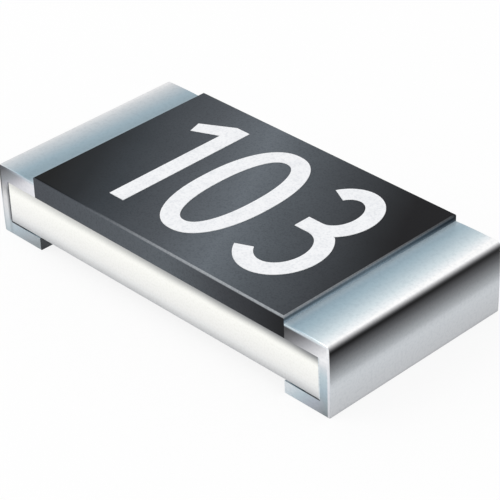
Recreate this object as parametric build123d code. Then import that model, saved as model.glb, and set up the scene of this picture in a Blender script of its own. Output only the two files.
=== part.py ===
"""Thick-film chip resistor, 3216 metric case, in millimetres.

The chip lies along X, its solder lands rest on the XY plane and Z points up. The origin
is the centre of its footprint. Every layer is built outwards from the ceramic block, and
each one is cut by the layers below it, so neighbours meet face to face.
"""

from build123d import *
import os

# Outline of the finished chip
LENGTH = 3.20
WIDTH = 1.60
CERAMIC_THICKNESS = 0.32

# Wrap-around terminals: how far the arms reach in from the end, and how thick the skins are
TOP_ARM = 0.39
BOTTOM_ARM = 0.40
TIN_THICKNESS = 0.06
TIN_SIDE_THICKNESS = 0.03
NICKEL_THICKNESS = 0.03
END_ELECTRODE_THICKNESS = 0.01
TOP_LAP = 0.18
BOTTOM_LAP = 0.12
SWELL = 0.008
CORNER_RADIUS = 0.03
EDGE_RADIUS = 0.012

# Printed electrodes on the ceramic
TOP_PAD_THICKNESS = 0.02
BOTTOM_PAD_THICKNESS = 0.01
PAD_SIDE_MARGIN = 0.08
PAD_UNDER_COAT = 0.26

# Resistive film, glass undercoat and the laser's trim cut
FILM_THICKNESS = 0.012
FILM_SIDE_MARGIN = 0.16
FILM_LAP = 0.10
GLASS_THICKNESS = 0.015
GLASS_MARGIN = 0.06
KERF = 0.03
TRIM_START = 0.30
TRIM_PLUNGE = 0.62
TRIM_LEG = 0.40

# Overcoat
COAT_STANDS_PROUD = 0.045
COAT_EDGE_RADIUS = 0.012

# Levels and stations that follow from the sizes above
CERAMIC_BOTTOM = TIN_THICKNESS + NICKEL_THICKNESS + END_ELECTRODE_THICKNESS + BOTTOM_PAD_THICKNESS
CERAMIC_TOP = CERAMIC_BOTTOM + CERAMIC_THICKNESS
PAD_TOP = CERAMIC_TOP + TOP_PAD_THICKNESS
PAD_BOTTOM = CERAMIC_BOTTOM - BOTTOM_PAD_THICKNESS
NICKEL_TOP = PAD_TOP + END_ELECTRODE_THICKNESS + NICKEL_THICKNESS
TERMINAL_TOP = NICKEL_TOP + TIN_THICKNESS
COAT_TOP = TERMINAL_TOP + COAT_STANDS_PROUD

HALF_LENGTH = LENGTH / 2
HALF_WIDTH = WIDTH / 2
NICKEL_END = HALF_LENGTH - TIN_THICKNESS
ELECTRODE_END = NICKEL_END - NICKEL_THICKNESS
CERAMIC_END = ELECTRODE_END - END_ELECTRODE_THICKNESS
TOP_ARM_TIP = HALF_LENGTH - TOP_ARM
BOTTOM_ARM_TIP = HALF_LENGTH - BOTTOM_ARM
NICKEL_BOTTOM_TIP = BOTTOM_ARM_TIP + TIN_THICKNESS
BOTTOM_PAD_TIP = NICKEL_BOTTOM_TIP + NICKEL_THICKNESS
TOP_PAD_TIP = TOP_ARM_TIP - PAD_UNDER_COAT
FILM_END = TOP_PAD_TIP + FILM_LAP
GLASS_END = FILM_END + GLASS_MARGIN

PAD_HALF_WIDTH = HALF_WIDTH - PAD_SIDE_MARGIN
FILM_HALF_WIDTH = HALF_WIDTH - FILM_SIDE_MARGIN
GLASS_HALF_WIDTH = FILM_HALF_WIDTH + GLASS_MARGIN
NICKEL_HALF_WIDTH = HALF_WIDTH - TIN_SIDE_THICKNESS


def block(x_low, x_high, y_low, y_high, z_low, z_high):
    """Box between two corners."""
    box = Box(x_high - x_low, y_high - y_low, z_high - z_low, align=(Align.MIN,) * 3)
    return Pos(x_low, y_low, z_low) * box


def band(x_low, x_high, half_width, z_low, z_high):
    """Box centred across the chip."""
    return block(x_low, x_high, -half_width, half_width, z_low, z_high)


def make_ceramic():
    """Alumina block that carries everything."""
    return band(-CERAMIC_END, CERAMIC_END, HALF_WIDTH, CERAMIC_BOTTOM, CERAMIC_TOP)


def make_top_electrode():
    """Printed pad on the ceramic's top, from its end to beneath the overcoat."""
    return band(TOP_PAD_TIP, CERAMIC_END, PAD_HALF_WIDTH, CERAMIC_TOP, PAD_TOP)


def make_bottom_electrode():
    """Printed pad on the ceramic's underside."""
    return band(BOTTOM_PAD_TIP, CERAMIC_END, PAD_HALF_WIDTH, PAD_BOTTOM, CERAMIC_BOTTOM)


def make_end_electrode(core):
    """Thin layer over the ceramic's end that laps onto the pads above and below it."""
    thickness = END_ELECTRODE_THICKNESS
    lap_half_width = PAD_HALF_WIDTH + thickness
    end_wall = band(CERAMIC_END, ELECTRODE_END, HALF_WIDTH, CERAMIC_BOTTOM - thickness, CERAMIC_TOP)
    top_lap = band(CERAMIC_END - TOP_LAP, ELECTRODE_END, PAD_HALF_WIDTH, CERAMIC_TOP, PAD_TOP + thickness)
    bottom_lap = band(
        CERAMIC_END - BOTTOM_LAP, ELECTRODE_END, lap_half_width, PAD_BOTTOM - thickness, CERAMIC_BOTTOM
    )
    bottom_skirt = band(
        CERAMIC_END - BOTTOM_LAP, ELECTRODE_END, HALF_WIDTH, CERAMIC_BOTTOM - thickness, CERAMIC_BOTTOM
    )
    return end_wall + top_lap + bottom_lap + bottom_skirt - core


def make_nickel_barrier(core):
    """Nickel skin over the end electrode and pads, closed in by the tin at its sides."""
    top_arm = band(TOP_ARM_TIP, NICKEL_END, NICKEL_HALF_WIDTH, CERAMIC_TOP, NICKEL_TOP)
    end_wall = band(CERAMIC_END, NICKEL_END, NICKEL_HALF_WIDTH, TIN_THICKNESS, NICKEL_TOP)
    bottom_arm = band(NICKEL_BOTTOM_TIP, NICKEL_END, NICKEL_HALF_WIDTH, TIN_THICKNESS, CERAMIC_BOTTOM)
    return top_arm + end_wall + bottom_arm - core


def is_outer(edge):
    """Whether an edge of a terminal's side runs round its outside and not round the ceramic."""
    middle = edge.center()
    return (
        middle.X > HALF_LENGTH - CORNER_RADIUS
        or middle.Z > TERMINAL_TOP - CORNER_RADIUS
        or middle.Z < CORNER_RADIUS
    )


def make_terminal():
    """Whole terminal: a C with a slightly swollen top and end and a flat underside."""
    shoulder = (TOP_ARM_TIP, TERMINAL_TOP - SWELL)
    top_crest = ((TOP_ARM_TIP + HALF_LENGTH) / 2, TERMINAL_TOP)
    top_corner = (HALF_LENGTH - SWELL, TERMINAL_TOP - SWELL)
    end_crest = (HALF_LENGTH, TERMINAL_TOP / 2)
    bottom_corner = (HALF_LENGTH - SWELL, 0)
    with BuildPart() as terminal:
        with BuildSketch(Plane.XZ):
            with BuildLine():
                TangentArc(top_crest, shoulder, tangent=(-1, 0))
                TangentArc(top_crest, top_corner, tangent=(1, 0))
                TangentArc(end_crest, top_corner, tangent=(0, 1))
                TangentArc(end_crest, bottom_corner, tangent=(0, -1))
                Polyline(
                    bottom_corner,
                    (BOTTOM_ARM_TIP, 0),
                    (BOTTOM_ARM_TIP, CERAMIC_BOTTOM),
                    (CERAMIC_END, CERAMIC_BOTTOM),
                    (CERAMIC_END, CERAMIC_TOP),
                    (TOP_ARM_TIP, CERAMIC_TOP),
                    shoulder,
                )
            make_face()
        extrude(amount=HALF_WIDTH, both=True)
        across = terminal.edges().filter_by(Axis.Y)
        end_edges = across.filter_by_position(Axis.X, ELECTRODE_END, HALF_LENGTH).sort_by(Axis.Z)
        fillet([end_edges[0], end_edges[-1]], radius=CORNER_RADIUS)
        sides = terminal.faces().filter_by(Axis.Y)
        fillet(sides.edges().filter_by(is_outer), radius=EDGE_RADIUS)
    return terminal.part


def trim_cut(z_low, z_high):
    """L-shaped track of the laser, in from one long side and then along the film."""
    turn_y = TRIM_PLUNGE - FILM_HALF_WIDTH
    plunge = block(TRIM_START - KERF, TRIM_START, -HALF_WIDTH, turn_y, z_low, z_high)
    leg = block(TRIM_START - TRIM_LEG, TRIM_START, turn_y - KERF, turn_y, z_low, z_high)
    return plunge + leg


def make_film(core, cut):
    """Resistive film between the top electrodes, stepping up onto both of them."""
    middle = band(-FILM_END, FILM_END, FILM_HALF_WIDTH, CERAMIC_TOP, CERAMIC_TOP + FILM_THICKNESS)
    step_start = TOP_PAD_TIP - FILM_THICKNESS
    step = band(step_start, FILM_END, FILM_HALF_WIDTH, CERAMIC_TOP, PAD_TOP + FILM_THICKNESS)
    return middle + step + mirror(step, about=Plane.YZ) - core - cut


def make_glass(core, cut):
    """Glass undercoat that follows the film's steps and overhangs it all round."""
    thickness = FILM_THICKNESS + GLASS_THICKNESS
    middle = band(-GLASS_END, GLASS_END, GLASS_HALF_WIDTH, CERAMIC_TOP, CERAMIC_TOP + thickness)
    step_start = TOP_PAD_TIP - thickness
    step = band(step_start, GLASS_END, GLASS_HALF_WIDTH, CERAMIC_TOP, PAD_TOP + thickness)
    return middle + step + mirror(step, about=Plane.YZ) - core - cut


def make_overcoat(core):
    """Black slab between the terminals that fills the trim cut and stands a little proud."""
    slab = band(-TOP_ARM_TIP, TOP_ARM_TIP, HALF_WIDTH, CERAMIC_TOP, COAT_TOP)
    slab = fillet(slab.faces().sort_by(Axis.Z)[-1].edges(), radius=COAT_EDGE_RADIUS)
    return slab - core


def both_ends(name, right):
    """Name a right-hand piece and its mirror image."""
    return {f"{name}_right": right, f"{name}_left": mirror(right, about=Plane.YZ)}


def make_chip():
    """Every piece of the chip by its node name."""
    ceramic = make_ceramic()
    top_electrode = make_top_electrode()
    bottom_electrode = make_bottom_electrode()
    printed = ceramic + top_electrode + bottom_electrode
    end_electrode = make_end_electrode(printed)
    nickel = make_nickel_barrier(printed + end_electrode)
    tin = make_terminal() - printed - end_electrode - nickel

    pads = top_electrode + mirror(top_electrode, about=Plane.YZ)
    cut = trim_cut(CERAMIC_TOP, COAT_TOP)
    film = make_film(pads, cut)
    glass = make_glass(pads + film, cut)
    overcoat = make_overcoat(pads + film + glass)

    return {
        "ceramic_substrate": ceramic,
        "resistive_film": film,
        "glass_undercoat": glass,
        "overcoat": overcoat,
        **both_ends("top_electrode", top_electrode),
        **both_ends("bottom_electrode", bottom_electrode),
        **both_ends("end_electrode", end_electrode),
        **both_ends("nickel_barrier", nickel),
        **both_ends("tin_plating", tin),
    }


os.makedirs("parts", exist_ok=True)
for name, piece in make_chip().items():
    export_step(piece, f"parts/{name}.step")
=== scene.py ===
"""Studio scene of a chip resistor: its finishes, its printed value and the light on it.

Lengths are in millimetres and angles in degrees. Pieces are shaped at that scale, at which the
mesh operators' own tolerances are fine enough for a part this small, and are brought to metres
once they are finished.
"""

import logging
import math
from collections.abc import Callable, Mapping, Sequence
from dataclasses import dataclass
from enum import Enum

import bmesh
import bpy
from mathutils import Matrix, Vector


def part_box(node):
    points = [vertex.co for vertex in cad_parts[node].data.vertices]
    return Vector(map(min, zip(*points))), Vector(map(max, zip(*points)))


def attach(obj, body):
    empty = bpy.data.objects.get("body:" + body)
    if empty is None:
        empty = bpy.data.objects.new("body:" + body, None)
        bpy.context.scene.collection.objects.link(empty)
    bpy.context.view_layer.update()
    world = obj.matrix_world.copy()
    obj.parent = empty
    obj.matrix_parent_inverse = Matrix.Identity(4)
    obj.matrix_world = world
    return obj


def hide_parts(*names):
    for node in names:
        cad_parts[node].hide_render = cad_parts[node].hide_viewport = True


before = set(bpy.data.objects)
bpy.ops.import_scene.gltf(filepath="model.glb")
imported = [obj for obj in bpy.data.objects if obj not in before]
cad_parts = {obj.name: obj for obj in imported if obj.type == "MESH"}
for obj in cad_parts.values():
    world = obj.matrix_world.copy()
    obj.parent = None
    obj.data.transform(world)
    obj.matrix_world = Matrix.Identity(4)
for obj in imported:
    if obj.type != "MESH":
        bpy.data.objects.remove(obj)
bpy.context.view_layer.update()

METRES = 0.001  # in a millimetre
MILLIMETRES = 1000.0  # in a metre
BODY = "root"  # what every piece rides with
TINY = 1e-4  # distance within which two places count as one
ALONG = Vector((1, 0, 0))
UP = Vector((0, 0, 1))
SQUARE_ON = 0.9  # a face looks along an axis where its normal has this much of it
SHARP_ANGLE = 35  # from which an edge stays sharp
FLAT_WEIGHT = 100  # the most that large flat faces can count in the shading beside them
WHITE = (1.0, 1.0, 1.0, 1.0)
UNCHANGED = "FFFFFF"  # what a colour is multiplied by to stay as it is

log = logging.getLogger("chip_resistor")


# ---------------------------------------------------------------- shader maths


class Signal:
    """A number that varies over a surface. Expressions on it add Math nodes."""

    def __init__(self, shader: "Shader", socket: bpy.types.NodeSocket) -> None:
        """Wraps an output socket of a shader's tree."""
        self.shader = shader
        self.socket = socket

    def _maths(self, operation: str, *terms: "Signal | float") -> "Signal":
        """Adds one Math node, whose inputs are the terms in order."""
        node = self.shader.node("ShaderNodeMath", {"operation": operation}, dict(enumerate(terms)))
        return Signal(self.shader, node.outputs[0])

    def __add__(self, other: "Signal | float") -> "Signal":
        """Sum."""
        return self._maths("ADD", self, other)

    def __radd__(self, other: float) -> "Signal":
        """Sum with a plain number on the left."""
        return self._maths("ADD", other, self)

    def __sub__(self, other: "Signal | float") -> "Signal":
        """Difference."""
        return self._maths("SUBTRACT", self, other)

    def __rsub__(self, other: float) -> "Signal":
        """Difference from a plain number."""
        return self._maths("SUBTRACT", other, self)

    def __mul__(self, other: "Signal | float") -> "Signal":
        """Product."""
        return self._maths("MULTIPLY", self, other)

    def __rmul__(self, other: float) -> "Signal":
        """Product with a plain number on the left."""
        return self._maths("MULTIPLY", other, self)

    def __truediv__(self, other: "Signal | float") -> "Signal":
        """Quotient."""
        return self._maths("DIVIDE", self, other)

    def __abs__(self) -> "Signal":
        """Size without sign."""
        return self._maths("ABSOLUTE", self)

    def larger(self, other: "Signal | float") -> "Signal":
        """The larger of the two."""
        return self._maths("MAXIMUM", self, other)

    def over(self, low: float, high: float) -> "Signal":
        """Spreads 0 to 1 over a span."""
        return low + self * (high - low)

    def rise(self, low: float, high: float) -> "Signal":
        """A smooth step.

        Args:
            low: where the step starts, at 0.
            high: where it ends, at 1.

        Returns:
            The step, which falls instead where high is below low.
        """
        values = {"Value": self, "From Min": low, "From Max": high}
        node = self.shader.node("ShaderNodeMapRange", {"interpolation_type": "SMOOTHSTEP"}, values)
        return Signal(self.shader, node.outputs["Result"])


Colour = tuple[float, float, float, float]
Stops = tuple[tuple[float, str], ...]
Span = tuple[float, float]
Socket = bpy.types.NodeSocket
Input = Signal | Socket | float | Sequence[float]


def paint(code: str) -> Colour:
    """Turns a display colour into the linear one that shaders use.

    Args:
        code: six hexadecimal digits, red, green and blue.

    Returns:
        Linear red, green, blue and an alpha of 1.
    """
    parts = [int(code[i : i + 2], 16) / 255 for i in (0, 2, 4)]
    linear = [v / 12.92 if v <= 0.04045 else ((v + 0.055) / 1.055) ** 2.4 for v in parts]  # sRGB
    return (*linear, 1.0)


class Shader:
    """Builds one node tree, of a material or of the world."""

    def __init__(self, owner: bpy.types.Material | bpy.types.World) -> None:
        """Takes over a node tree and empties it.

        Args:
            owner: the material or the world that the tree belongs to.
        """
        owner.use_nodes = True
        self.tree = owner.node_tree
        self.tree.nodes.clear()

    def node(
        self,
        kind: str,
        settings: Mapping[str, object] | None = None,
        values: Mapping[int | str, Input] | None = None,
    ) -> bpy.types.Node:
        """Adds any node.

        Args:
            kind: the node's type.
            settings: its own properties, or a ramp's stops, which are set first.
            values: a number, colour or link for each socket.

        Returns:
            The new node.
        """
        node = self.tree.nodes.new(kind)
        for name, setting in (settings or {}).items():
            if name == "stops":
                self._set_stops(node.color_ramp, setting)
            else:
                setattr(node, name, setting)
        for key, value in (values or {}).items():
            source = value.socket if isinstance(value, Signal) else value
            if isinstance(source, Socket):
                self.tree.links.new(source, node.inputs[key])
            else:
                node.inputs[key].default_value = source
        return node

    @staticmethod
    def _set_stops(ramp: bpy.types.ColorRamp, stops: Stops) -> None:
        """Gives a colour ramp its stops.

        Args:
            ramp: a new ramp, which has two stops.
            stops: each stop's place and colour, in order.
        """
        while len(ramp.elements) < len(stops):
            ramp.elements.new(0.5)
        for element, (place, code) in zip(ramp.elements, stops):
            element.position = place
            element.color = paint(code)

    def blend(self, amount: Signal | float, first: Input, second: Input, how: str = "MIX") -> Socket:
        """Mixes two colours.

        Args:
            amount: 0 for the first colour, 1 for the second.
            first: a colour or a link.
            second: a colour or a link.
            how: the Mix node's blend type.

        Returns:
            The mixed colour.
        """
        settings = {"data_type": "RGBA", "blend_type": how}
        values = {0: amount, 6: first, 7: second}  # a Mix node's factor and its two colours
        return self.node("ShaderNodeMix", settings, values).outputs[2]

    def ramp(self, along: Signal, stops: Stops) -> Socket:
        """Runs a number from 0 to 1 through a colour ramp."""
        return self.node("ShaderNodeValToRGB", {"stops": stops}, {0: along}).outputs[0]

    def axes(self, vector: Socket) -> tuple[Signal, Signal, Signal]:
        """Splits a vector into its three numbers."""
        node = self.node("ShaderNodeSeparateXYZ", {}, {0: vector})
        return tuple(Signal(self, output) for output in node.outputs)

    def seen(self) -> Signal:
        """Tells the rays that see the backdrop as it is.

        Returns:
            1 for camera, glossy and transmission rays.
        """
        path = self.node("ShaderNodeLightPath").outputs
        rays = [Signal(self, path[f"Is {kind} Ray"]) for kind in ("Camera", "Glossy", "Transmission")]
        return rays[0].larger(rays[1]).larger(rays[2])


@dataclass(frozen=True)
class Grain:
    """The fine grain of a finish."""

    size: float  # of a grain
    depth: float  # of its hollows
    roughness: Span  # in the hollows and on the tops
    dark: str = UNCHANGED  # what a colour is multiplied by in the hollows
    fade: Span = (0.3, 0.55)  # heights of the grain between which a hollow ends
    detail: float = 3.0  # how many finer layers it has


class Skin(Shader):
    """The tree of a material that knows the place on the part and the grain there."""

    def __init__(self, owner: bpy.types.Material, grain: Grain) -> None:
        """Empties the material's tree and starts it with the place and the grain.

        Args:
            owner: the material.
            grain: the grain of its surface.
        """
        super().__init__(owner)
        self.grain = grain
        values = {0: self.node("ShaderNodeTexCoord").outputs["Object"], "Scale": MILLIMETRES}
        self.where = self.node("ShaderNodeVectorMath", {"operation": "SCALE"}, values).outputs[0]
        self.texture = self.noise(grain.size, grain.detail)

    def place(self) -> tuple[Signal, Signal, Signal]:
        """Where a point is on the part, in millimetres."""
        return self.axes(self.where)

    def facing(self) -> tuple[Signal, Signal, Signal]:
        """Which way the surface faces, in the part's own frame."""
        return self.axes(self.node("ShaderNodeTexCoord").outputs["Normal"])

    def noise(self, size: float, detail: float = 3.0) -> Signal:
        """Clouds between 0 and 1, in patches of this size."""
        values = {"Vector": self.where, "Scale": 1 / size, "Detail": detail}
        return Signal(self, self.node("ShaderNodeTexNoise", {}, values).outputs["Fac"])

    def drift(self, size: float, reach: float) -> Signal:
        """Clouds about 0, in patches of this size."""
        return (self.noise(size) - 0.5) * reach

    def fleck(self, colour: Input) -> Socket:
        """Darkens a colour in the hollows of the grain."""
        shade = self.ramp(self.texture, tuple(zip(self.grain.fade, (self.grain.dark, UNCHANGED))))
        return self.blend(1.0, colour, shade, "MULTIPLY")

    def relief(self) -> Socket:
        """The normal of the grained surface."""
        values = {"Height": self.texture, "Distance": self.grain.depth * METRES, "Strength": 1.0}
        return self.node("ShaderNodeBump", {}, values).outputs["Normal"]


class Finish:
    """A finish that a piece is dressed in."""

    label: str
    grain: Grain

    def material(self) -> bpy.types.Material:
        """Makes the material.

        Returns:
            A new material.
        """
        made = bpy.data.materials.new(self.label)
        skin = Skin(made, self.grain)
        values = {
            **self.surface(skin),
            "Roughness": skin.texture.over(*self.grain.roughness),
            "Normal": skin.relief(),
        }
        body = skin.node("ShaderNodeBsdfPrincipled", {}, values)
        skin.node("ShaderNodeOutputMaterial", {}, {"Surface": body.outputs["BSDF"]})
        return made

    def surface(self, skin: Skin) -> dict[str, Input]:
        """Says what the Principled node's sockets get, apart from roughness and relief."""
        raise NotImplementedError


@dataclass(frozen=True)
class Chip:
    """The chip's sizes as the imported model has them, from its middle and its underside."""

    end: float  # where its end faces are
    side: float  # where its long sides are
    top: float  # height of the terminals
    arm_tip: float  # where the top arms end and the coat begins
    foot_tip: float  # where the bottom arms end
    window_end: float  # inner side of the terminals' end walls
    window_floor: float  # upper side of their bottom arms
    ceramic_end: float  # where the ceramic ends
    ceramic_low: float  # level of its underside
    ceramic_high: float  # level of its top
    coat_top: float  # height of the coat
    nickel_low: Vector  # lowest corner of the right nickel layer
    nickel_high: Vector  # its highest corner

    @classmethod
    def from_frame(cls) -> "Chip":
        """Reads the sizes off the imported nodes.

        Returns:
            The chip's sizes.
        """
        tin_low, tin_high = corners("tin_plating_right")
        ceramic_low, ceramic_high = corners("ceramic_substrate")
        _, electrode_high = corners("end_electrode_right")
        _, coat_high = corners("overcoat")
        nickel_low, nickel_high = corners("nickel_barrier_right")
        return cls(
            end=tin_high.x,
            side=tin_high.y,
            top=tin_high.z,
            arm_tip=coat_high.x,
            foot_tip=tin_low.x,
            window_end=electrode_high.x,
            window_floor=ceramic_low.z - (electrode_high.x - ceramic_high.x),
            ceramic_end=ceramic_high.x,
            ceramic_low=ceramic_low.z,
            ceramic_high=ceramic_high.z,
            coat_top=coat_high.z,
            nickel_low=nickel_low,
            nickel_high=nickel_high,
        )


def corners(node: str) -> tuple[Vector, Vector]:
    """A CAD node's lowest and highest corners, in millimetres."""
    low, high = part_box(node)
    return low * MILLIMETRES, high * MILLIMETRES


@dataclass(frozen=True)
class Alumina(Finish):
    """Fired white ceramic with a fine grain, greyed by painted shade towards its underside and under the
    coat.
    """

    chip: Chip
    label = "alumina"
    grain = Grain(size=0.016, depth=0.0004, roughness=(0.5, 0.65), dark="F8F8F7", detail=4.0)
    # painted shade on the block's side, upwards: grey at the underside, white higher up
    tones: Stops = (
        (0.0, "B8BABD"), (0.1, "D4D5D6"), (0.2, "E8E9E9"),
        (0.32, "F2F2F0"), (0.6, "F9F9F5"), (0.85, "FEFEF9"),
    )
    coat_shadow: str = "787A7E"  # painted shadow under the coat: what it darkens to there
    coat_shadow_width: float = 0.08  # how far down that reaches
    coat_shadow_growth: Span = (-2.5, 1.5)  # between which half lengths of the chip it grows
    wander: float = 0.02  # how far the tones wander up and down
    wander_size: float = 0.3  # how large the stretches are that wander as one
    shine: float = 0.2  # the specular level

    def surface(self, skin: Skin) -> dict[str, Input]:
        """Paints shade on the block: darker towards its underside, and a shadow under the coat.

        Args:
            skin: the material's tree.

        Returns:
            Values for the Principled node's sockets.
        """
        chip = self.chip
        along, _, height = skin.place()
        level = height + skin.drift(self.wander_size, self.wander)
        # painted shade: the side darkens towards its underside
        upwards = (level - chip.ceramic_low) / (chip.ceramic_high - chip.ceramic_low)
        # painted shadow under the coat, stronger towards the right end
        under_coat = level.rise(chip.ceramic_high - self.coat_shadow_width, chip.ceramic_high)
        growing = along.rise(*(share * chip.end for share in self.coat_shadow_growth))
        colour = skin.blend(under_coat * growing, skin.ramp(upwards, self.tones), paint(self.coat_shadow))
        return {"Base Color": skin.fleck(colour), "Specular IOR Level": self.shine}


@dataclass(frozen=True)
class Overcoat(Finish):
    """Black resin print, with a painted sheen across it and painted highlights on two of its rims.

    Shares of the coat run from 0 to 1, from its left end or from its back edge.
    """

    chip: Chip
    label = "overcoat_resin"
    grain = Grain(size=0.012, depth=0.0002, roughness=(0.35, 0.55), dark="DDDEE0")
    # tones of the painted sheen, whose ridge is at a half
    sheen: Stops = (
        (0.04, "010305"), (0.13, "1A1F24"), (0.2, "30363C"), (0.36, "4D5258"), (0.5, "636A71"),
        (0.61, "4E545A"), (0.73, "393D42"), (0.82, "202327"), (0.88, "08080D"),
    )
    sheen_start: float = 0.315  # share of the length at which the ridge leaves the back edge
    sheen_slant: float = 0.39  # how far along the ridge moves by the time it reaches the front
    sheen_spread: float = 0.7  # how narrow the sheen is
    clouds: Span = (0.5, 0.06)  # size of the clouds in it, and their strength
    # painted shade and reflection on the front and back walls, from the left
    side: Stops = ((0.0, "464A50"), (0.55, "5A6066"), (0.78, "393C41"), (1.0, "0E0F13"))
    side_turn: Span = (0.5, 0.9)  # slopes between which the top gives way to them
    # painted shade and reflection on the end walls, from the back
    end_wall: Stops = ((0.0, "10181F"), (0.1, "303C46"), (0.25, "4A5862"), (0.5, "6A7882"), (1.0, "56636C"))
    end_turn: Span = (0.8, 0.95)  # slopes between which the top gives way to those
    painted_tin_reflection: str = "9FB2BE"  # painted reflection of the tin beside them, low down on the end walls
    tin_reflection_height: Span = (0.017, -0.003)  # how far above the tin that ends and is full
    tin_reflection_growth: Span = (-0.3, 0.8)  # how it grows forwards
    rim: str = "9EA2A6"  # colour of the painted highlight on the rims
    rim_depth: Span = (0.02, 0.01)  # how far down they reach
    rim_slope: Span = (0.99, 0.93)  # where the top's normal leaves the upright for the rim
    end_rim: Span = (-0.7, 1.8)  # how the right rim's painted highlight grows forwards
    back_gap: float = 0.03  # share of the depth over which that rim starts
    front_rim: Span = (0.95, 1.0)  # where the front rim begins
    rim_run: Span = (0.15, 0.75)  # how the painted highlight grows along the coat
    shine: float = 0.08  # the specular level

    def surface(self, skin: Skin) -> dict[str, Input]:
        """Paints the sheen across the print, then paints shade, reflection and highlights on its walls and
        rims.

        Args:
            skin: the material's tree.

        Returns:
            Values for the Principled node's sockets.
        """
        along, across, height = skin.place()
        face_x, face_y, face_z = (abs(axis) for axis in skin.facing())
        share = along / (2 * self.chip.arm_tip) + 0.5
        depth = 0.5 - across / (2 * self.chip.side)
        from_ridge = share - depth * self.sheen_slant - self.sheen_start
        # painted sheen: a soft reflection laid slantwise across the top
        colour = skin.ramp(from_ridge * self.sheen_spread + 0.5 + skin.drift(*self.clouds), self.sheen)
        # painted shade and reflection on the front and back walls
        colour = skin.blend(face_y.rise(*self.side_turn), colour, skin.ramp(share, self.side))
        # painted shade on the end walls, with the painted reflection of the tin low down on them
        by_tin = (height - self.chip.top).rise(*self.tin_reflection_height) * depth.rise(*self.tin_reflection_growth)
        wall = skin.blend(by_tin, skin.ramp(depth, self.end_wall), paint(self.painted_tin_reflection))
        colour = skin.blend(face_x.rise(*self.end_turn), colour, wall)
        # painted highlight on the front and right rims
        on_rim = (self.chip.coat_top - height).rise(*self.rim_depth) * face_z.rise(*self.rim_slope)
        at_end = depth.rise(*self.end_rim) * depth.rise(0.0, self.back_gap)
        highlit = on_rim * at_end.larger(depth.rise(*self.front_rim)) * share.rise(*self.rim_run)
        colour = skin.blend(highlit, colour, paint(self.rim))
        return {"Base Color": skin.fleck(colour), "Specular IOR Level": self.shine}


@dataclass(frozen=True)
class TinTones:
    """How one terminal is toned: the painted reflections, highlights and shade on its faces."""

    top: Stops  # painted reflection on the top face, from the coat outwards
    arm: Stops  # painted reflection on the top arm's side, from the coat outwards
    wall: Stops  # painted reflection on the end wall's side, upwards
    foot: Stops  # painted reflection on the bottom arm's side, from its tip outwards
    crown: Stops  # painted highlight and shade on the rims along the top, from the coat outwards
    post: Stops  # painted highlight and shade on the upright rim, upwards
    slant: float  # how far outwards the arms' tones lie for each millimetre further down
    seam: float  # how strong the painted shade is on the end wall where it meets the ceramic


# the right terminal's painted reflections, highlights and shade
RIGHT_TONES = TinTones(
    top=(
        (0.0, "8498A5"), (0.1, "8BA2AF"), (0.15, "92A9B6"), (0.3, "A1B7C2"),
        (0.5, "BBCBD3"), (0.67, "D4E0E5"), (0.84, "F3F6F8"), (0.89, "FFFFFF"),
    ),
    arm=(
        (0.0, "363639"), (0.2, "606164"), (0.36, "87878B"),
        (0.6, "BBBCC0"), (0.8, "DEDEE1"), (1.0, "F6F6F8"),
    ),
    wall=(
        (0.0, "7E868A"), (0.12, "98A2A7"), (0.35, "AEBFC9"),
        (0.55, "C4D3DA"), (0.7, "DEE1E5"), (0.9, "E3E3E7"),
    ),
    foot=((0.0, "D4DBE0"), (0.3, "BAC8D0"), (0.6, "AEB4BE"), (1.0, "94989C")),
    crown=(
        (0.0, "C4D4DB"), (0.3, "CAD8E0"), (0.45, "D0DAE1"),
        (0.6, "D4DDE1"), (0.75, "DEE7EA"), (0.9, "EEF1F4"),
    ),
    post=((0.0, "D6D6DA"), (0.5, "E6E7EC"), (1.0, "FCFCFD")),
    slant=3.0,
    seam=0.0,
)

# the left terminal's painted reflections, highlights and shade
LEFT_TONES = TinTones(
    top=(
        (0.0, "8A9FAA"), (0.22, "8EA3AE"), (0.4, "9EB2BD"), (0.61, "B8C3CA"),
        (0.8, "CED3D7"), (0.9, "E0E2E4"), (1.0, "F6F6F7"),
    ),
    arm=(
        (0.1, "E3E3E8"), (0.3, "D9D9DE"), (0.47, "BDBDC4"),
        (0.64, "9EA2A7"), (0.9, "7E8084"), (1.0, "66676B"),
    ),
    wall=(
        (0.0, "BECAD0"), (0.25, "DEE2E6"), (0.4, "E8E8EA"),
        (0.54, "E4E4E5"), (0.74, "AAABAC"), (0.96, "606064"),
    ),
    foot=((0.0, "8E969A"), (0.3, "A8B0B6"), (0.7, "BAC7CF"), (1.0, "C4D0D6")),
    crown=((0.0, "CCD6DE"), (0.4, "B2BAC2"), (0.8, "707378"), (1.0, "4A4C50")),
    post=(
        (0.0, "B4C0C6"), (0.45, "DCDEE2"), (0.6, "A0A2A5"),
        (0.74, "606265"), (0.85, "46484B"), (1.0, "3C3D41"),
    ),
    slant=-4.0,
    seam=0.8,
)


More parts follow.
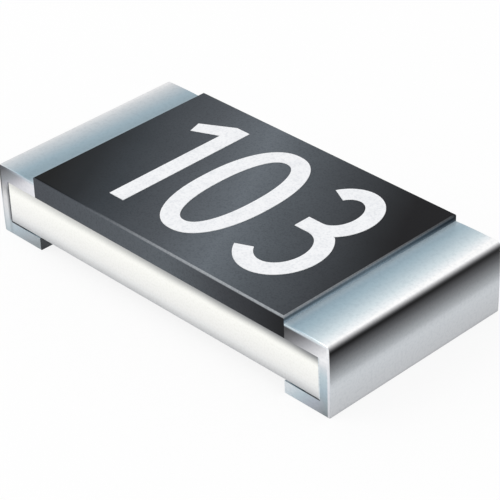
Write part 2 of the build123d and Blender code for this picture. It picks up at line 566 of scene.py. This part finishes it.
@dataclass(frozen=True)
class Tin(Finish):
    """Plated tin, satin, with painted reflections: bluish by the coat, bright towards the outer edge.

    Shares of a terminal run outwards from 0 at the coat, or upwards from 0 at the board. Slopes
    are how much of a face's normal lies along an axis, and a turn is a pair of them between which
    one tone gives way to another.
    """

    chip: Chip
    tones: TinTones  # how this terminal's faces are toned
    label = "tin_plate"
    grain = Grain(size=0.02, depth=0.0003, roughness=(0.32, 0.44), dark="F4F5F6")
    # painted reflection on the end face, upwards: light low down, a dark band under the bright top edge
    face: Stops = (
        (0.0, "B6B8BB"), (0.05, "CBCDD0"), (0.4, "D3D7DB"), (0.47, "CBCFD3"), (0.53, "B3B7BB"),
        (0.66, "888B8E"), (0.78, "5B5C5F"), (0.83, "48494B"), (0.87, "2F2F31"), (0.897, "1A1A1B"),
        (0.912, "1D1D1E"), (0.935, "464648"), (0.958, "818183"), (0.971, "A8A8A9"),
        (0.977, "B6B6B8"), (0.984, "BFBFC1"), (1.0, "C4C4C6"),
    )
    by_coat: str = "E6F2F8"  # painted light that the top turns to beside the coat, offsetting the coat's shade there
    coat_reach: float = 0.2  # share of the arm over which it does
    coat_share: float = 0.4  # how much it does
    underside: str = "B8BCBF"  # the solder side
    top_turn: Span = (-0.2, 0.2)  # from the underside to the top
    # painted shade on the foot's inner end, darkest at the front and lighter towards the back
    foot_end_shade: tuple[str, str] = ("34383C", "9A9EA2")
    foot_end_run: Span = (-1.0, -0.6)  # share of the half width over which the first becomes the second
    outer_turn: Span = (0.0, 0.3)  # from faces that look inwards to those that look outwards
    bend: Span = (0.1, 0.9)  # from the top to the end face
    flank: Span = (0.6, 0.85)  # from those to the long sides
    seam_shade_colour: str = "5C5F64"  # painted shade on the end wall beside the ceramic
    seam_shade_width: float = 0.032  # how far into the wall that reaches
    arm_fade: float = 0.07  # how far down the arm's tones reach into the wall
    foot_fade: float = 0.03  # how far up the foot's tones reach
    foot_run: Span = (0.95, 0.7)  # share of the foot at which its tones give way to the wall's
    rounding: Span = (0.97, 0.8)  # how far a rim's normal is off every axis
    # the slope of a rim towards the long sides, and that of the sides beside it
    rim_turn: tuple[Span, Span] = ((0.7, 0.95), (0.7, 0.9))
    post_turn: Span = (0.1, 0.3)  # from the rims along the top to the upright one
    post_run: Span = (0.925, 0.957)  # share at which the upright rim begins on the side
    crown_turn: Span = (0.1, 0.4)  # from the upright rim to those along the top
    below_crown: Span = (0.03, 0.014)  # how far below the top its tones end and are full
    lean: float = 0.07  # how much further out the top's tones lie for each millimetre further back
    clouds: Span = (0.25, 0.025)  # size of the clouds in them, and their strength
    metal: Span = (0.05, 0.95)  # how metallic it is by the coat and further out
    metal_run: Span = (0.0, 0.5)  # the shares between which it changes
    edge_tint: str = "E1E1E1"  # tint of what it mirrors

    def sides(self, skin: Skin, along: Signal, height: Signal) -> Socket:
        """Paints reflection and shade on the C that each long side of the terminal shows.

        Args:
            skin: the material's tree.
            along: how far a point is from the chip's middle.
            height: its height.

        Returns:
            The side's colour.
        """
        chip, tones = self.chip, self.tones
        outwards = (along - chip.arm_tip) / (chip.end - chip.arm_tip)
        arm_middle = (chip.ceramic_high + chip.top) / 2
        # painted reflections on the arm, the end wall and the foot
        arm = skin.ramp(outwards + (arm_middle - height) * tones.slant, tones.arm)
        foot = skin.ramp(outwards + (chip.window_floor / 2 - height) * tones.slant, tones.foot)
        wall = skin.ramp(height / chip.top, tones.wall)
        # painted shade on the end wall beside the ceramic
        by_window = along.rise(chip.window_end + self.seam_shade_width, chip.window_end) * tones.seam
        side = skin.blend(by_window, wall, paint(self.seam_shade_colour))
        on_arm = height.rise(chip.ceramic_high - self.arm_fade, chip.ceramic_high)
        side = skin.blend(on_arm, side, arm)
        by_floor = height.rise(chip.window_floor + self.foot_fade, chip.window_floor)
        return skin.blend(by_floor * outwards.rise(*self.foot_run), side, foot)

    def surface(self, skin: Skin) -> dict[str, Input]:
        """Paints reflection on each face of the terminal by its own run, and highlight and shade on its
        rims.

        Args:
            skin: the material's tree.

        Returns:
            Values for the Principled node's sockets.
        """
        chip, tones = self.chip, self.tones
        along, across, height = skin.place()
        face_x, face_y, face_z = skin.facing()
        steep_x, steep_y = abs(face_x), abs(face_y)
        outwards = (abs(along) - chip.arm_tip) / (chip.end - chip.arm_tip)
        upwards = height / chip.top

        # painted reflection on the top, with painted light beside the coat offsetting its shade
        top = skin.ramp(outwards + across * self.lean + skin.drift(*self.clouds), tones.top)
        shaded = outwards.rise(self.coat_reach, 0.0) * self.coat_share
        top = skin.blend(shaded, top, paint(self.by_coat))
        flat = skin.blend(face_z.rise(*self.top_turn), paint(self.underside), top)
        # painted shade on the foot's inner end
        backwards = across.rise(*(share * chip.side for share in self.foot_end_run))
        inner = skin.blend(backwards, *map(paint, self.foot_end_shade))
        # painted reflection on the end face
        outer = skin.ramp(upwards, self.face)
        upright = skin.blend((face_x * along).rise(*self.outer_turn), inner, outer)
        colour = skin.blend(steep_x.rise(*self.bend), flat, upright)
        colour = skin.blend(steep_y.rise(*self.flank), colour, self.sides(skin, abs(along), height))

        # painted highlights and shade on the rims: the upright one and those along the top
        rounded = steep_x.larger(steep_y).larger(abs(face_z)).rise(*self.rounding)
        on_rim, by_rim = (steep_y.rise(*turn) for turn in self.rim_turn)
        rim = rounded * on_rim
        on_post = (rim * steep_x.rise(*self.post_turn)).larger(outwards.rise(*self.post_run) * by_rim)
        under_rim = (chip.top - height).rise(*self.below_crown) * by_rim
        on_crown = (rim * face_z.rise(*self.crown_turn)).larger(under_rim)
        colour = skin.blend(on_post, colour, skin.ramp(upwards, tones.post))
        colour = skin.blend(on_crown, colour, skin.ramp(outwards, tones.crown))
        return {
            "Base Color": skin.fleck(colour),
            "Metallic": outwards.rise(*self.metal_run).over(*self.metal),
            "Specular Tint": paint(self.edge_tint),
        }


@dataclass(frozen=True)
class Ink(Finish):
    """White marking ink, a little uneven."""

    label = "marking_ink"
    grain = Grain(size=0.016, depth=0.0006, roughness=(0.5, 0.7), dark="F0F1F3")
    colour: str = "F4F5F7"  # where it is thick
    thin: str = "E6E8EB"  # where it is thinnest
    patch_size: float = 0.12  # of the thin patches
    patch_edge: Span = (0.4, 0.75)  # the cloud heights between which they fade in
    thinning: float = 0.5  # how much of the thin colour they take
    shine: float = 0.3  # the specular level

    def surface(self, skin: Skin) -> dict[str, Input]:
        """Thins the ink in patches.

        Args:
            skin: the material's tree.

        Returns:
            Values for the Principled node's sockets.
        """
        patches = skin.noise(self.patch_size).rise(*self.patch_edge) * self.thinning
        colour = skin.blend(patches, paint(self.colour), paint(self.thin))
        return {"Base Color": skin.fleck(colour), "Specular IOR Level": self.shine}


@dataclass(frozen=True)
class EndMetal(Finish):
    """End electrode, of which a hair line shows round the ceramic's end. Its colours are painted light and
    shade, dark where it runs under the ceramic.
    """

    chip: Chip
    upright: str  # painted tone of the line up the end wall: shade on one terminal, light on the other
    label = "end_electrode_metal"
    grain = Grain(size=0.02, depth=0.0005, roughness=(0.4, 0.6), dark="D8D8DA", detail=4.0)
    foot: str = "3A3E43"  # painted shade where it runs under the ceramic
    turn: Span = (-0.002, 0.004)  # where one gives way to the other above the ceramic's underside
    metal: float = 0.6  # how metallic it is

    def surface(self, skin: Skin) -> dict[str, Input]:
        """Paints shade on the layer where it runs under the ceramic.

        Args:
            skin: the material's tree.

        Returns:
            Values for the Principled node's sockets.
        """
        _, _, height = skin.place()
        above = (height - self.chip.ceramic_low).rise(*self.turn)
        # painted shade under the ceramic, the terminal's painted tone above it
        colour = skin.blend(above, paint(self.foot), paint(self.upright))
        return {"Base Color": skin.fleck(colour), "Metallic": self.metal}


@dataclass(frozen=True)
class Layer(Finish):
    """A thin inner layer: printed silver, nickel, resistive paste or glass."""

    label: str  # the material's name
    colour: str  # its main colour
    fleck: str  # the colour on the tops of its grain
    metal: float  # 1 for a metal
    roughness: Span  # in the hollows of its grain and on the tops
    fleck_edge: Span = (0.35, 0.7)  # heights of the grain between which a fleck begins

    @property
    def grain(self) -> Grain:
        """The grain that all these layers have, each with its own roughness."""
        return Grain(size=0.02, depth=0.001, roughness=self.roughness, detail=4.0)

    def surface(self, skin: Skin) -> dict[str, Input]:
        """Spreads flecks through the layer.

        Args:
            skin: the material's tree.

        Returns:
            Values for the Principled node's sockets.
        """
        flecks = skin.texture.rise(*self.fleck_edge)
        colour = skin.blend(flecks, paint(self.colour), paint(self.fleck))
        return {"Base Color": colour, "Metallic": self.metal}


class InnerLayer(Enum):
    """The finishes of the layers under the plating and the coat."""

    SILVER = Layer("printed_silver", "C9C6BE", "A9A59B", metal=1.0, roughness=(0.4, 0.6))
    NICKEL = Layer("nickel_plate", "B3AD9F", "97917F", metal=1.0, roughness=(0.35, 0.55))
    RESISTIVE = Layer("resistive_paste", "25262A", "3A3B40", metal=0.0, roughness=(0.5, 0.7))
    GLASS = Layer("undercoat_glass", "5F6B66", "73807A", metal=0.0, roughness=(0.35, 0.55))


# ---------------------------------------------------------------- modelling

Object = bpy.types.Object


def edit_all() -> None:
    """Opens the active mesh for editing, with all of it selected."""
    bpy.ops.object.mode_set(mode="EDIT")
    bpy.ops.mesh.select_all(action="SELECT")


class Workpiece:
    """A mesh in the making. It is held in millimetres until it is finished."""

    def __init__(self, name: str, low: Vector, high: Vector) -> None:
        """Starts from a block between two corners and opens it for editing.

        Args:
            name: the piece's name.
            low: its lowest corner.
            high: its highest corner.
        """
        bpy.ops.object.select_all(action="DESELECT")
        bpy.ops.mesh.primitive_cube_add(size=1, location=(low + high) / 2, scale=high - low)
        self.piece = bpy.context.object
        self.piece.name = self.piece.data.name = name
        bpy.ops.object.transform_apply(location=True, rotation=True, scale=True)
        edit_all()

    def pick(self, kind: str, test: Callable[[object], bool]) -> None:
        """Selects what passes a test, and nothing else.

        Args:
            kind: "verts", "edges" or "faces".
            test: says whether an element is wanted.
        """
        bpy.ops.mesh.select_mode(type=kind[:-1].upper())
        bpy.ops.mesh.select_all(action="DESELECT")
        mesh = bmesh.from_edit_mesh(self.piece.data)
        mesh.normal_update()
        for element in [element for element in getattr(mesh, kind) if test(element)]:
            element.select_set(True)
        mesh.select_flush_mode()
        bmesh.update_edit_mesh(self.piece.data)

    def pick_inner(self, low: float, high: float) -> None:
        """Selects the faces that look towards the chip's middle between two levels."""
        self.pick(
            "faces",
            lambda face: face.normal.x < -SQUARE_ON and low < face.calc_center_median().z < high,
        )

    def places(self, run: Vector, test: Callable[[bmesh.types.BMVert], bool]) -> list[float]:
        """Finds where the vertices that pass a test lie along a direction, each place once."""
        mesh = bmesh.from_edit_mesh(self.piece.data)
        return sorted({round(vertex.co.dot(run), 5) for vertex in mesh.verts if test(vertex)})

    def cut(self, point: Vector, normal: Vector) -> None:
        """Cuts the whole mesh along a plane and keeps both sides."""
        bpy.ops.mesh.select_all(action="SELECT")
        bpy.ops.mesh.bisect(plane_co=point, plane_no=normal, threshold=TINY / 10)

    def pull(self, shift: Vector) -> None:
        """Extrudes the selected faces by a shift."""
        bpy.ops.mesh.extrude_region_move(TRANSFORM_OT_translate={"value": shift})

    def move(self, shift: Vector) -> None:
        """Moves what is selected by a shift."""
        bpy.ops.transform.translate(value=shift)

    def round(self, radius: float, segments: int) -> None:
        """Rounds the selected edges to a radius, with so many faces."""
        bpy.ops.mesh.bevel(
            offset=radius, offset_type="OFFSET", segments=segments, affect="EDGES", clamp_overlap=False
        )

    def close(self) -> Object:
        """Leaves edit mode and hands over the piece, still in millimetres."""
        bpy.ops.object.mode_set(mode="OBJECT")
        return self.piece


def use_only(piece: Object) -> None:
    """Selects one object and makes it the active one.

    Args:
        piece: the object.
    """
    bpy.ops.object.select_all(action="DESELECT")
    piece.select_set(True)
    bpy.context.view_layer.objects.active = piece


def apply_modifier(piece: Object, kind: str, settings: Mapping[str, object]) -> None:
    """Adds a modifier and applies it.

    Args:
        piece: the object.
        kind: the modifier's type.
        settings: its properties.
    """
    use_only(piece)
    modifier = piece.modifiers.new(kind.lower(), kind)
    for name, value in settings.items():
        setattr(modifier, name, value)
    bpy.ops.object.modifier_apply(modifier=modifier.name)


def resize(piece: Object, factors: tuple[float, float, float]) -> None:
    """Resizes a mesh about the origin and turns its faces outwards.

    Args:
        piece: the object.
        factors: along X, Y and Z.
    """
    use_only(piece)
    edit_all()
    bpy.ops.transform.resize(value=factors, center_override=(0, 0, 0))
    bpy.ops.mesh.normals_make_consistent(inside=False)
    bpy.ops.object.mode_set(mode="OBJECT")


def to_metres(piece: Object) -> None:
    """Brings a finished mesh from millimetres to metres."""
    resize(piece, (METRES,) * 3)


def smooth(piece: Object) -> None:
    """Smooths rounded edges and keeps flat faces flat.

    Args:
        piece: the object.
    """
    use_only(piece)
    bpy.ops.object.shade_smooth_by_angle(angle=math.radians(SHARP_ANGLE))
    apply_modifier(piece, "WEIGHTED_NORMAL", {"keep_sharp": True, "weight": FLAT_WEIGHT})


def add_object(name: str, data: bpy.types.ID) -> Object:
    """Puts a new object into the scene.

    Args:
        name: its name.
        data: its mesh, curve, light or camera.

    Returns:
        The object, at the origin.
    """
    made = bpy.data.objects.new(name, data)
    bpy.context.scene.collection.objects.link(made)
    return made


def mirrored(piece: Object, name: str) -> Object:
    """Copies a piece to the other end of the chip.

    Args:
        piece: the piece to copy.
        name: the copy's name.

    Returns:
        The copy, with a mesh of its own.
    """
    copy = add_object(name, piece.data.copy())
    copy.data.name = name
    resize(copy, (-1, 1, 1))
    return copy


def dress(piece: Object, finish: Finish) -> None:
    """Gives a piece its finish.

    Args:
        piece: the object.
        finish: what it is dressed in.
    """
    piece.data.materials.clear()
    piece.data.materials.append(finish.material())


# ---------------------------------------------------------------- the chip


class Side(Enum):
    """The two ends of the chip."""

    LEFT = "left"
    RIGHT = "right"


@dataclass
class Terminals:
    """The two plated terminals, each a C-shaped skin of tin over nickel."""

    chip: Chip
    swell: float = 0.005  # how far the top and end faces bow out
    corner_radius: float = 0.022  # of the upper bend at the end face
    foot_radius: float = 0.012  # of the lower one
    corner_steps: int = 6  # how many faces make a bend
    rim_radius: float = 0.01  # of the rims along the chip's long sides
    rim_steps: int = 4  # how many faces make a rim
    stations: int = 8  # how many strips make a bowed face
    opening: float = 0.05  # how far the nickel's room is cut past the arm's open tip

    def skin(self) -> Object:
        """Models the right terminal, still solid.

        Returns:
            The piece, in millimetres.
        """
        chip = self.chip
        wall = Vector((chip.window_end, -chip.side, 0.0)), Vector((chip.end, chip.side, chip.top))
        work = Workpiece("tin_plating_right_skin", *wall)
        for level in (chip.window_floor, chip.ceramic_high):
            work.cut(UP * level, UP)
        work.pick_inner(chip.ceramic_high, math.inf)
        work.pull(ALONG * (chip.arm_tip - chip.window_end))
        work.pick_inner(-math.inf, chip.window_floor)
        work.pull(ALONG * (chip.foot_tip - chip.window_end))
        self.bow(work, ALONG, UP, chip.arm_tip)
        self.bow(work, UP, ALONG, 0.0)
        for level, radius in ((chip.top, self.corner_radius), (0.0, self.foot_radius)):
            work.pick("edges", lambda edge: self.is_bend(edge, level))
            work.round(radius, self.corner_steps)
        work.pick("edges", self.is_rim)
        work.round(self.rim_radius, self.rim_steps)
        return work.close()

    def bow(self, work: Workpiece, run: Vector, out: Vector, start: float) -> None:
        """Bows one outer face outwards, highest at its middle.

        Args:
            work: the terminal in the making.
            run: the direction that the face bows along.
            out: the way the face looks.
            start: where the bow starts along the run. It ends at the chip's corner.
        """
        corner = Vector((self.chip.end, 0, self.chip.top))
        end, level = corner.dot(run), corner.dot(out)
        for step in range(1, self.stations):
            work.cut(run * (start + (end - start) * step / self.stations), run)
        middle, half = (start + end) / 2, (end - start) / 2
        for place in work.places(run, lambda vertex: vertex.co.dot(out) > level - TINY):
            work.pick(
                "verts",
                lambda vertex: vertex.co.dot(out) > level - TINY and abs(vertex.co.dot(run) - place) < TINY,
            )
            work.move(out * -self.swell * ((place - middle) / half) ** 2)

    def is_bend(self, edge: bmesh.types.BMEdge, level: float) -> bool:
        """Tells an outer bend at the end face.

        Args:
            edge: an edge of the skin.
            level: how high the bend is.

        Returns:
            Whether it is that one.
        """
        first, second = (vertex.co for vertex in edge.verts)
        outermost = min(first.x, second.x) > self.chip.end - 2 * self.swell
        crosswise = abs(first.y - second.y) > self.chip.side
        return outermost and crosswise and abs(first.z - level) < 2 * self.swell

    def is_rim(self, edge: bmesh.types.BMEdge) -> bool:
        """Tells the rims, which run between a side face and the outer skin.

        Args:
            edge: an edge of the skin.

        Returns:
            Whether it is part of one.
        """
        core = UP * (self.chip.ceramic_low + self.chip.ceramic_high) / 2
        sides = [face for face in edge.link_faces if abs(face.normal.y) > SQUARE_ON]
        others = [face for face in edge.link_faces if abs(face.normal.y) < SQUARE_ON]
        outer = [face for face in others if face.normal.dot(face.calc_center_median() - core) > 0]
        return len(sides) == 1 and len(outer) == 1

    def hollow(self, piece: Object) -> None:
        """Takes the nickel's room out of the skin.

        Args:
            piece: the right terminal, still solid, in millimetres.
        """
        low, high = self.chip.nickel_low, self.chip.nickel_high
        tin_thickness = self.chip.end - high.x
        foot_start = self.chip.foot_tip + tin_thickness
        work = Workpiece("nickel_room", Vector((foot_start, low.y, low.z)), high)
        middle = (low.z + high.z) / 2
        work.cut(UP * middle, UP)
        work.pick_inner(middle, math.inf)
        work.pull(ALONG * (low.x - self.opening - foot_start))
        room = work.close()
        apply_modifier(piece, "BOOLEAN", {"operation": "DIFFERENCE", "object": room, "solver": "EXACT"})
        bpy.data.objects.remove(room)

    def build(self) -> list[Object]:
        """Models both terminals.

        Returns:
            The right one and the left one, in metres.
        """
        right = self.skin()
        self.hollow(right)
        to_metres(right)
        left = mirrored(right, "tin_plating_left_skin")
        for piece, side in ((right, Side.RIGHT), (left, Side.LEFT)):
            smooth(piece)
            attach(piece, BODY)
            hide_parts(f"tin_plating_{side.value}")
        return [right, left]

    def dress(self, pieces: Sequence[Object]) -> None:
        """Plates the right terminal and the left one."""
        for piece, tones in zip(pieces, (RIGHT_TONES, LEFT_TONES)):
            dress(piece, Tin(self.chip, tones))


@dataclass
class Substrate:
    """The ceramic block, with its sawn edges eased."""

    chip: Chip
    edge_radius: float = 0.005  # of the eased edges
    edge_steps: int = 3  # how many faces make one

    def build(self) -> Object:
        """Models the block.

        Returns:
            The block, in metres.
        """
        work = Workpiece("ceramic_block", *corners("ceramic_substrate"))
        work.pick("edges", lambda edge: abs(edge.verts[0].co.x - edge.verts[1].co.x) > self.chip.ceramic_end)
        work.round(self.edge_radius, self.edge_steps)
        block = work.close()
        to_metres(block)
        smooth(block)
        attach(block, BODY)
        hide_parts("ceramic_substrate")
        return block

    def dress(self, block: Object) -> None:
        """Gives the block its fired finish."""
        dress(block, Alumina(self.chip))


Outline = list[Span]


@dataclass
class Marking:
    """The value, printed in plain digits on the coat."""

    chip: Chip
    digits: str = "103"  # the digits, left to right
    height: float = 1.22  # of a digit
    stroke: float = 0.137  # width of the strokes
    ink: float = 0.004  # thickness of the ink
    centres: tuple[float, ...] = (0.5, 1.16, 1.88)  # where each digit's middle is, from the coat's left end
    shift: float = 0.01  # how far the line of digits is from the coat's middle, towards the back
    arc_steps: int = 16  # how many straight steps a quarter turn has
    zero_half_width: float = 0.318  # half the width of a 0
    zero_strokes: Span = (0.143, 0.129)  # its strokes at the sides, and above and below
    zero_squares: Span = (2.25, 2.2)  # how square its outside and its inside are
    one_right: float = 0.18  # right side of a 1, from its middle
    one_short: float = 0.02  # how much shorter it is at each end
    one_notch: float = 0.155  # how far below its top the flag's lower side meets the stem
    # the flag's other corners, from the stem's upper left one
    one_flag: tuple[Span, ...] = ((-0.205, -0.245), (-0.235, -0.14), (0.015, 0.0))
    three_middle: float = -0.02  # middle of a 3's bowls
    three_bar: float = -0.14  # where its bar starts
    three_upper: Span = (0.265, 0.32)  # half width and half height of its upper bowl
    three_lower: float = 0.305  # half width of its lower one
    three_tail: float = 147.0  # the angle at which its outside ends
    tail_slant: float = 6.0  # how much earlier its inside does

    def arc(self, centre: Span, radii: Span, start: float, end: float, square: float = 2.0) -> Outline:
        """Points along part of an oval.

        Args:
            centre: the oval's middle.
            radii: its half width and half height.
            start: the first angle.
            end: the last angle.
            square: 2 for an ellipse, and more for straighter sides.

        Returns:
            The points, from start to end.
        """
        steps = max(2, round(abs(end - start) / 90 * self.arc_steps))
        points = []
        for step in range(steps + 1):
            angle = math.radians(start + (end - start) * step / steps)
            across, up = math.cos(angle), math.sin(angle)
            wide = radii[0] * math.copysign(abs(across) ** (2 / square), across)
            high = radii[1] * math.copysign(abs(up) ** (2 / square), up)
            points.append((centre[0] + wide, centre[1] + high))
        return points

    def zero(self) -> list[Outline]:
        """Draws a 0 about its middle.

        Returns:
            Its outside and its inside.
        """
        outer = (self.zero_half_width, self.height / 2)
        inner = tuple(radius - stroke for radius, stroke in zip(outer, self.zero_strokes))
        ovals = zip((outer, inner), self.zero_squares)
        return [self.arc((0, 0), radii, 0, 360, square)[:-1] for radii, square in ovals]

    def one(self) -> list[Outline]:
        """Draws a 1 about its middle.

        Returns:
            Its outline.
        """
        right, top = self.one_right, self.height / 2 - self.one_short
        left = right - self.stroke
        flag = [(left + across, top + up) for across, up in self.one_flag]
        return [[(right, top), (right, -top), (left, -top), (left, top - self.one_notch), *flag]]

    def three(self) -> list[Outline]:
        """Draws a 3 about its middle: two bowls that meet in a bar at its waist.

        Returns:
            Its outline.
        """
        half, stroke = self.height / 2, self.stroke
        outer, inner = self.three_tail, self.three_tail - self.tail_slant
        upper_wide, upper_high = self.three_upper
        lower_wide, lower_high = self.three_lower, half + stroke / 2 - upper_high
        upper, lower = (self.three_middle, half - upper_high), (self.three_middle, lower_high - half)
        waist = half - 2 * upper_high + stroke / 2
        upper_turn = math.degrees(math.asin((waist - upper[1]) / upper_high))
        lower_turn = math.degrees(math.asin((waist - lower[1]) / lower_high))
        outline = self.arc(upper, (upper_wide, upper_high), outer, upper_turn)
        outline += self.arc(lower, (lower_wide, lower_high), lower_turn, -outer)
        outline += self.arc(lower, (lower_wide - stroke, lower_high - stroke), -inner, 90)
        outline += [(self.three_bar, waist - stroke / 2), (self.three_bar, waist + stroke / 2)]
        outline += self.arc(upper, (upper_wide - stroke, upper_high - stroke), -90, inner)
        return [outline]

    def stamp(self, name: str, outlines: Sequence[Outline], place: Vector) -> Object:
        """Makes flat outlines into a thin layer of ink.

        Args:
            name: the piece's name.
            outlines: closed outlines about the digit's middle.
            place: where that middle is on the coat.

        Returns:
            The piece, in metres.
        """
        curve = bpy.data.curves.new(name, "CURVE")
        curve.dimensions = "2D"
        curve.fill_mode = "BOTH"
        curve.extrude = self.ink / 2
        for outline in outlines:
            spline = curve.splines.new("POLY")
            spline.points.add(len(outline) - 1)
            for point, (across, up) in zip(spline.points, outline):
                point.co = (across, up, 0, 1)
            spline.use_cyclic_u = True
        piece = add_object(name, curve)
        piece.location = place + UP * self.ink / 2
        use_only(piece)
        bpy.ops.object.convert(target="MESH")
        piece = bpy.context.object
        bpy.ops.object.transform_apply(location=True, rotation=True, scale=True)
        edit_all()
        bpy.ops.mesh.remove_doubles(threshold=TINY)
        bpy.ops.object.mode_set(mode="OBJECT")
        to_metres(piece)
        return piece

    def build(self) -> list[Object]:
        """Prints the digits.

        Returns:
            A piece for each digit, in metres.
        """
        shapes = {"0": self.zero, "1": self.one, "3": self.three}
        pieces = []
        for number, (digit, centre) in enumerate(zip(self.digits, self.centres), start=1):
            place = Vector((centre - self.chip.arm_tip, self.shift, self.chip.coat_top))
            piece = self.stamp(f"marking_digit_{number}", shapes[digit](), place)
            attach(piece, BODY)
            pieces.append(piece)
        return pieces

    def dress(self, pieces: Sequence[Object]) -> None:
        """Inks the digits."""
        for piece in pieces:
            dress(piece, Ink())


@dataclass
class Layers:
    """What stays as the CAD model has it: the coat and all that is under it."""

    chip: Chip
    # painted tone of each end electrode's line up its end wall: shade on the left, light on the right
    uprights: tuple[tuple[Side, str], ...] = ((Side.LEFT, "4A4E54"), (Side.RIGHT, "DCE2E6"))

    def dress(self) -> None:
        """Gives each CAD piece its finish."""
        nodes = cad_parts
        dress(nodes["overcoat"], Overcoat(self.chip))
        dress(nodes["resistive_film"], InnerLayer.RESISTIVE.value)
        dress(nodes["glass_undercoat"], InnerLayer.GLASS.value)
        for side, upright in self.uprights:
            dress(nodes[f"top_electrode_{side.value}"], InnerLayer.SILVER.value)
            dress(nodes[f"bottom_electrode_{side.value}"], InnerLayer.SILVER.value)
            dress(nodes[f"end_electrode_{side.value}"], EndMetal(self.chip, upright))
            dress(nodes[f"nickel_barrier_{side.value}"], InnerLayer.NICKEL.value)


# ---------------------------------------------------------------- the studio


@dataclass
class Studio:
    """Floor, light and camera."""

    azimuth: float = 47.03  # which way the camera looks, from +Y
    elevation: float = 33.31  # how far it looks down
    roll: float = -2.28  # how far it is turned about its own axis
    distance: float = 15.02  # from the camera to what it aims at
    aim: tuple[float, float, float] = (-0.016, 0.082, 0.109)  # that point
    lens: float = 158.2  # focal length on a 36 mm wide sensor
    clip: Span = (0.5, 4000.0)  # the nearest and the furthest that it sees
    floor_size: float = 400.0  # the floor's side
    floor_white: float = 0.95  # how white it is
    floor_glow: float = 0.85  # how much of it looks plain white and takes no shadow
    lamp_place: tuple[float, float, float] = (-20, -25, 35)  # where the lamp is
    lamp_size: float = 30.0  # its side
    lamp_power: float = 0.0045  # in watts
    room_light: float = 0.88  # strength of the light from all round
    backdrop: float = 1.0  # strength of it that the camera and mirrors see, where 1 is white

    def floor(self) -> None:
        """Lays a pale floor that looks white and keeps a faint shadow."""
        pale = bpy.data.materials.new("pale_floor")
        shader = Shader(pale)
        matte = shader.node("ShaderNodeBsdfDiffuse", {}, {"Color": (*(self.floor_white,) * 3, 1.0)})
        glow = shader.node("ShaderNodeEmission", {}, {"Color": WHITE, "Strength": 1.0})
        values = {0: self.floor_glow * shader.seen(), 1: matte.outputs[0], 2: glow.outputs[0]}
        mix = shader.node("ShaderNodeMixShader", {}, values)
        shader.node("ShaderNodeOutputMaterial", {}, {"Surface": mix.outputs[0]})
        bpy.ops.object.select_all(action="DESELECT")
        bpy.ops.mesh.primitive_plane_add(size=self.floor_size * METRES)
        ground = bpy.context.object
        ground.name = "studio_floor"
        ground.data.materials.append(pale)

    def light(self) -> None:
        """Lights the chip from all round, and a little more from the upper left."""
        world = bpy.data.worlds.new("studio_light")
        bpy.context.scene.world = world
        shader = Shader(world)
        level = shader.seen().over(self.room_light, self.backdrop)
        sky = shader.node("ShaderNodeBackground", {}, {"Color": WHITE, "Strength": level})
        shader.node("ShaderNodeOutputWorld", {}, {"Surface": sky.outputs[0]})
        lamp = bpy.data.lights.new("soft_lamp", "AREA")
        lamp.size = self.lamp_size * METRES
        lamp.energy = self.lamp_power
        holder = add_object("soft_lamp", lamp)
        holder.location = Vector(self.lamp_place) * METRES
        holder.rotation_euler = (-holder.location).to_track_quat("-Z", "Y").to_euler()

    def camera(self) -> None:
        """Sets up the camera, turned about what it aims at."""
        data = bpy.data.cameras.new("camera")
        data.lens = self.lens
        data.clip_start, data.clip_end = (reach * METRES for reach in self.clip)
        camera = add_object("camera", data)
        pose = Matrix.Translation(Vector(self.aim) * METRES)
        for angle, axis in ((self.azimuth, "Z"), (90 - self.elevation, "X"), (self.roll, "Z")):
            pose @= Matrix.Rotation(math.radians(angle), 4, axis)
        camera.matrix_world = pose @ Matrix.Translation(UP * self.distance * METRES)
        bpy.context.scene.camera = camera


def main() -> None:
    """Builds the scene, piece by piece."""
    logging.basicConfig(level=logging.INFO, format="%(message)s")
    bpy.context.scene.view_settings.view_transform = "Standard"
    chip = Chip.from_frame()
    terminals = Terminals(chip)
    skins = terminals.build()
    terminals.dress(skins)
    substrate = Substrate(chip)
    block = substrate.build()
    substrate.dress(block)
    marking = Marking(chip)
    digits = marking.build()
    marking.dress(digits)
    Layers(chip).dress()
    for piece in (*skins, block, *digits):
        log.info("%s: %d faces", piece.name, len(piece.data.polygons))
    studio = Studio()
    studio.floor()
    studio.light()
    studio.camera()


if __name__ == "__main__":
    main()
